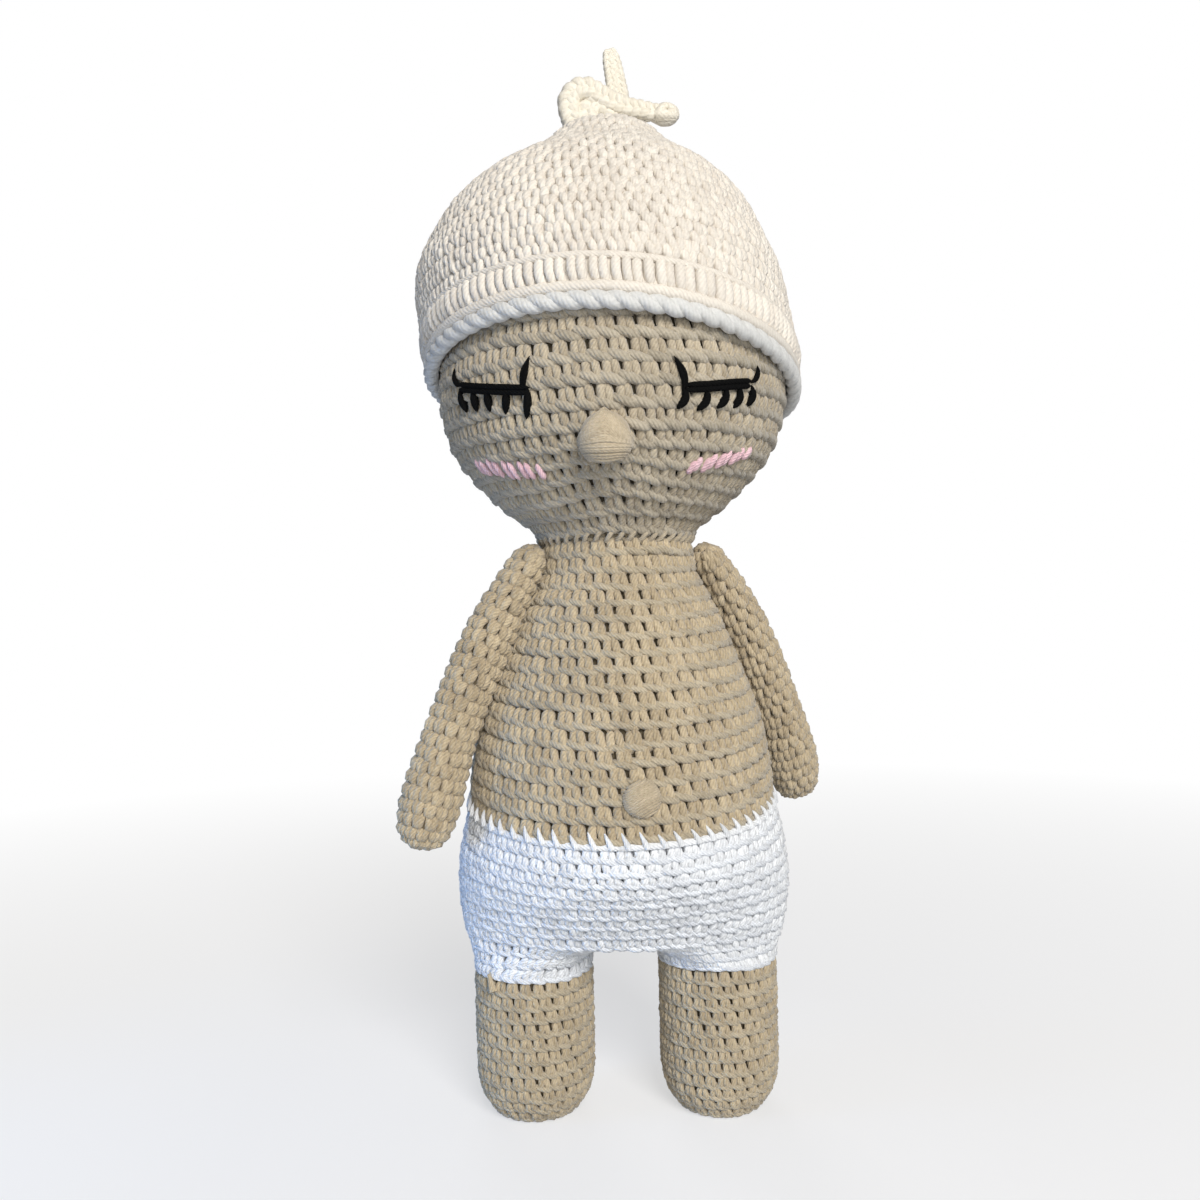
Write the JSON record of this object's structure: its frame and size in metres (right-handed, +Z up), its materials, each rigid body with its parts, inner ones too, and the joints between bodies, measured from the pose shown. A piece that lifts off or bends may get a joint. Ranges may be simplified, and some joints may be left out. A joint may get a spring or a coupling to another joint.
{
  "type": "crocheted doll",
  "caption": "Stuffed crochet doll with closed eyes, white pants and a loose ivory hat with a knotted tuft; head, arms and legs move on the soft body.",
  "frame": {"origin": "centre of the bounding box at the level of the soles", "axes": "+Z up from the soles to the hat's tuft, -Y the way the face looks, +X the doll's left"},
  "size_m": [0.113, 0.099, 0.2824],
  "materials": {
    "beige_yarn": "matte",
    "grey_beige_yarn": "matte",
    "white_yarn": "matte",
    "ivory_yarn": "matte",
    "cream_yarn": "matte",
    "black_yarn": "matte",
    "pink_yarn": "matte",
    "fibre": "matte"
  },
  "bodies": {
    "torso": {"torso_skin": "beige_yarn", "pants_skin": "white_yarn", "body_filling": "fibre", "belly_button": "beige_yarn"},
    "neck": {"neck_filling": "fibre"},
    "head": {"head_skin": "grey_beige_yarn", "head_filling": "fibre", "neck_seam": "grey_beige_yarn", "nose": "beige_yarn", "left_eye_stitches": "black_yarn", "right_eye_stitches": "black_yarn", "left_cheek_stitches": "pink_yarn", "right_cheek_stitches": "pink_yarn"},
    "hat": {"hat_crown": "ivory_yarn", "hat_edging": "white_yarn", "hat_cord": "cream_yarn", "hat_stem": "cream_yarn"},
    "right_arm": {"right_arm_skin": "beige_yarn", "right_arm_filling": "fibre"},
    "left_arm": {"left_arm_skin": "beige_yarn", "left_arm_filling": "fibre"},
    "right_leg": {"right_leg_skin": "beige_yarn", "right_leg_filling": "fibre"},
    "left_leg": {"left_leg_skin": "beige_yarn", "left_leg_filling": "fibre"}
  },
  "joints": [
    {"name": "head_turn", "type": "hinge", "parent": "torso", "child": "neck", "pos_m": [-0.00022, -0.00052, 0.14], "axis": [0, 0, 1], "range_deg": [-30, 30], "stiffness_Nm_per_rad": 0.2},
    {"name": "neck_nod", "type": "hinge", "parent": "neck", "child": "head", "pos_m": [-0.00022, -0.00052, 0.14], "axis": [1, 0, 0], "range_deg": [-10, 12], "stiffness_Nm_per_rad": 0.6},
    {"name": "hat_slide", "type": "slide", "parent": "head", "child": "hat", "axis": [0, 0.1045, 0.9945], "range_m": [0, 0.06]},
    {"name": "right_arm_swing", "type": "hinge", "parent": "torso", "child": "right_arm", "pos_m": [-0.02544, -0.0097, 0.13742], "axis": [-0.8055, -0.2932, 0.515], "range_deg": [-45, 80], "stiffness_Nm_per_rad": 0.05},
    {"name": "left_arm_swing", "type": "hinge", "parent": "torso", "child": "left_arm", "pos_m": [0.02652, 0.00182, 0.13742], "axis": [-0.8448, -0.0739, -0.5299], "range_deg": [-27, 98], "stiffness_Nm_per_rad": 0.05},
    {"name": "right_hip", "type": "hinge", "parent": "torso", "child": "right_leg", "pos_m": [-0.02422, -0.00052, 0.04834], "axis": [-1, 0, 0], "range_deg": [-10, 20], "stiffness_Nm_per_rad": 1},
    {"name": "left_hip", "type": "hinge", "parent": "torso", "child": "left_leg", "pos_m": [0.02378, -0.00052, 0.04834], "axis": [-1, 0, 0], "range_deg": [-10, 20], "stiffness_Nm_per_rad": 1}
  ]
}
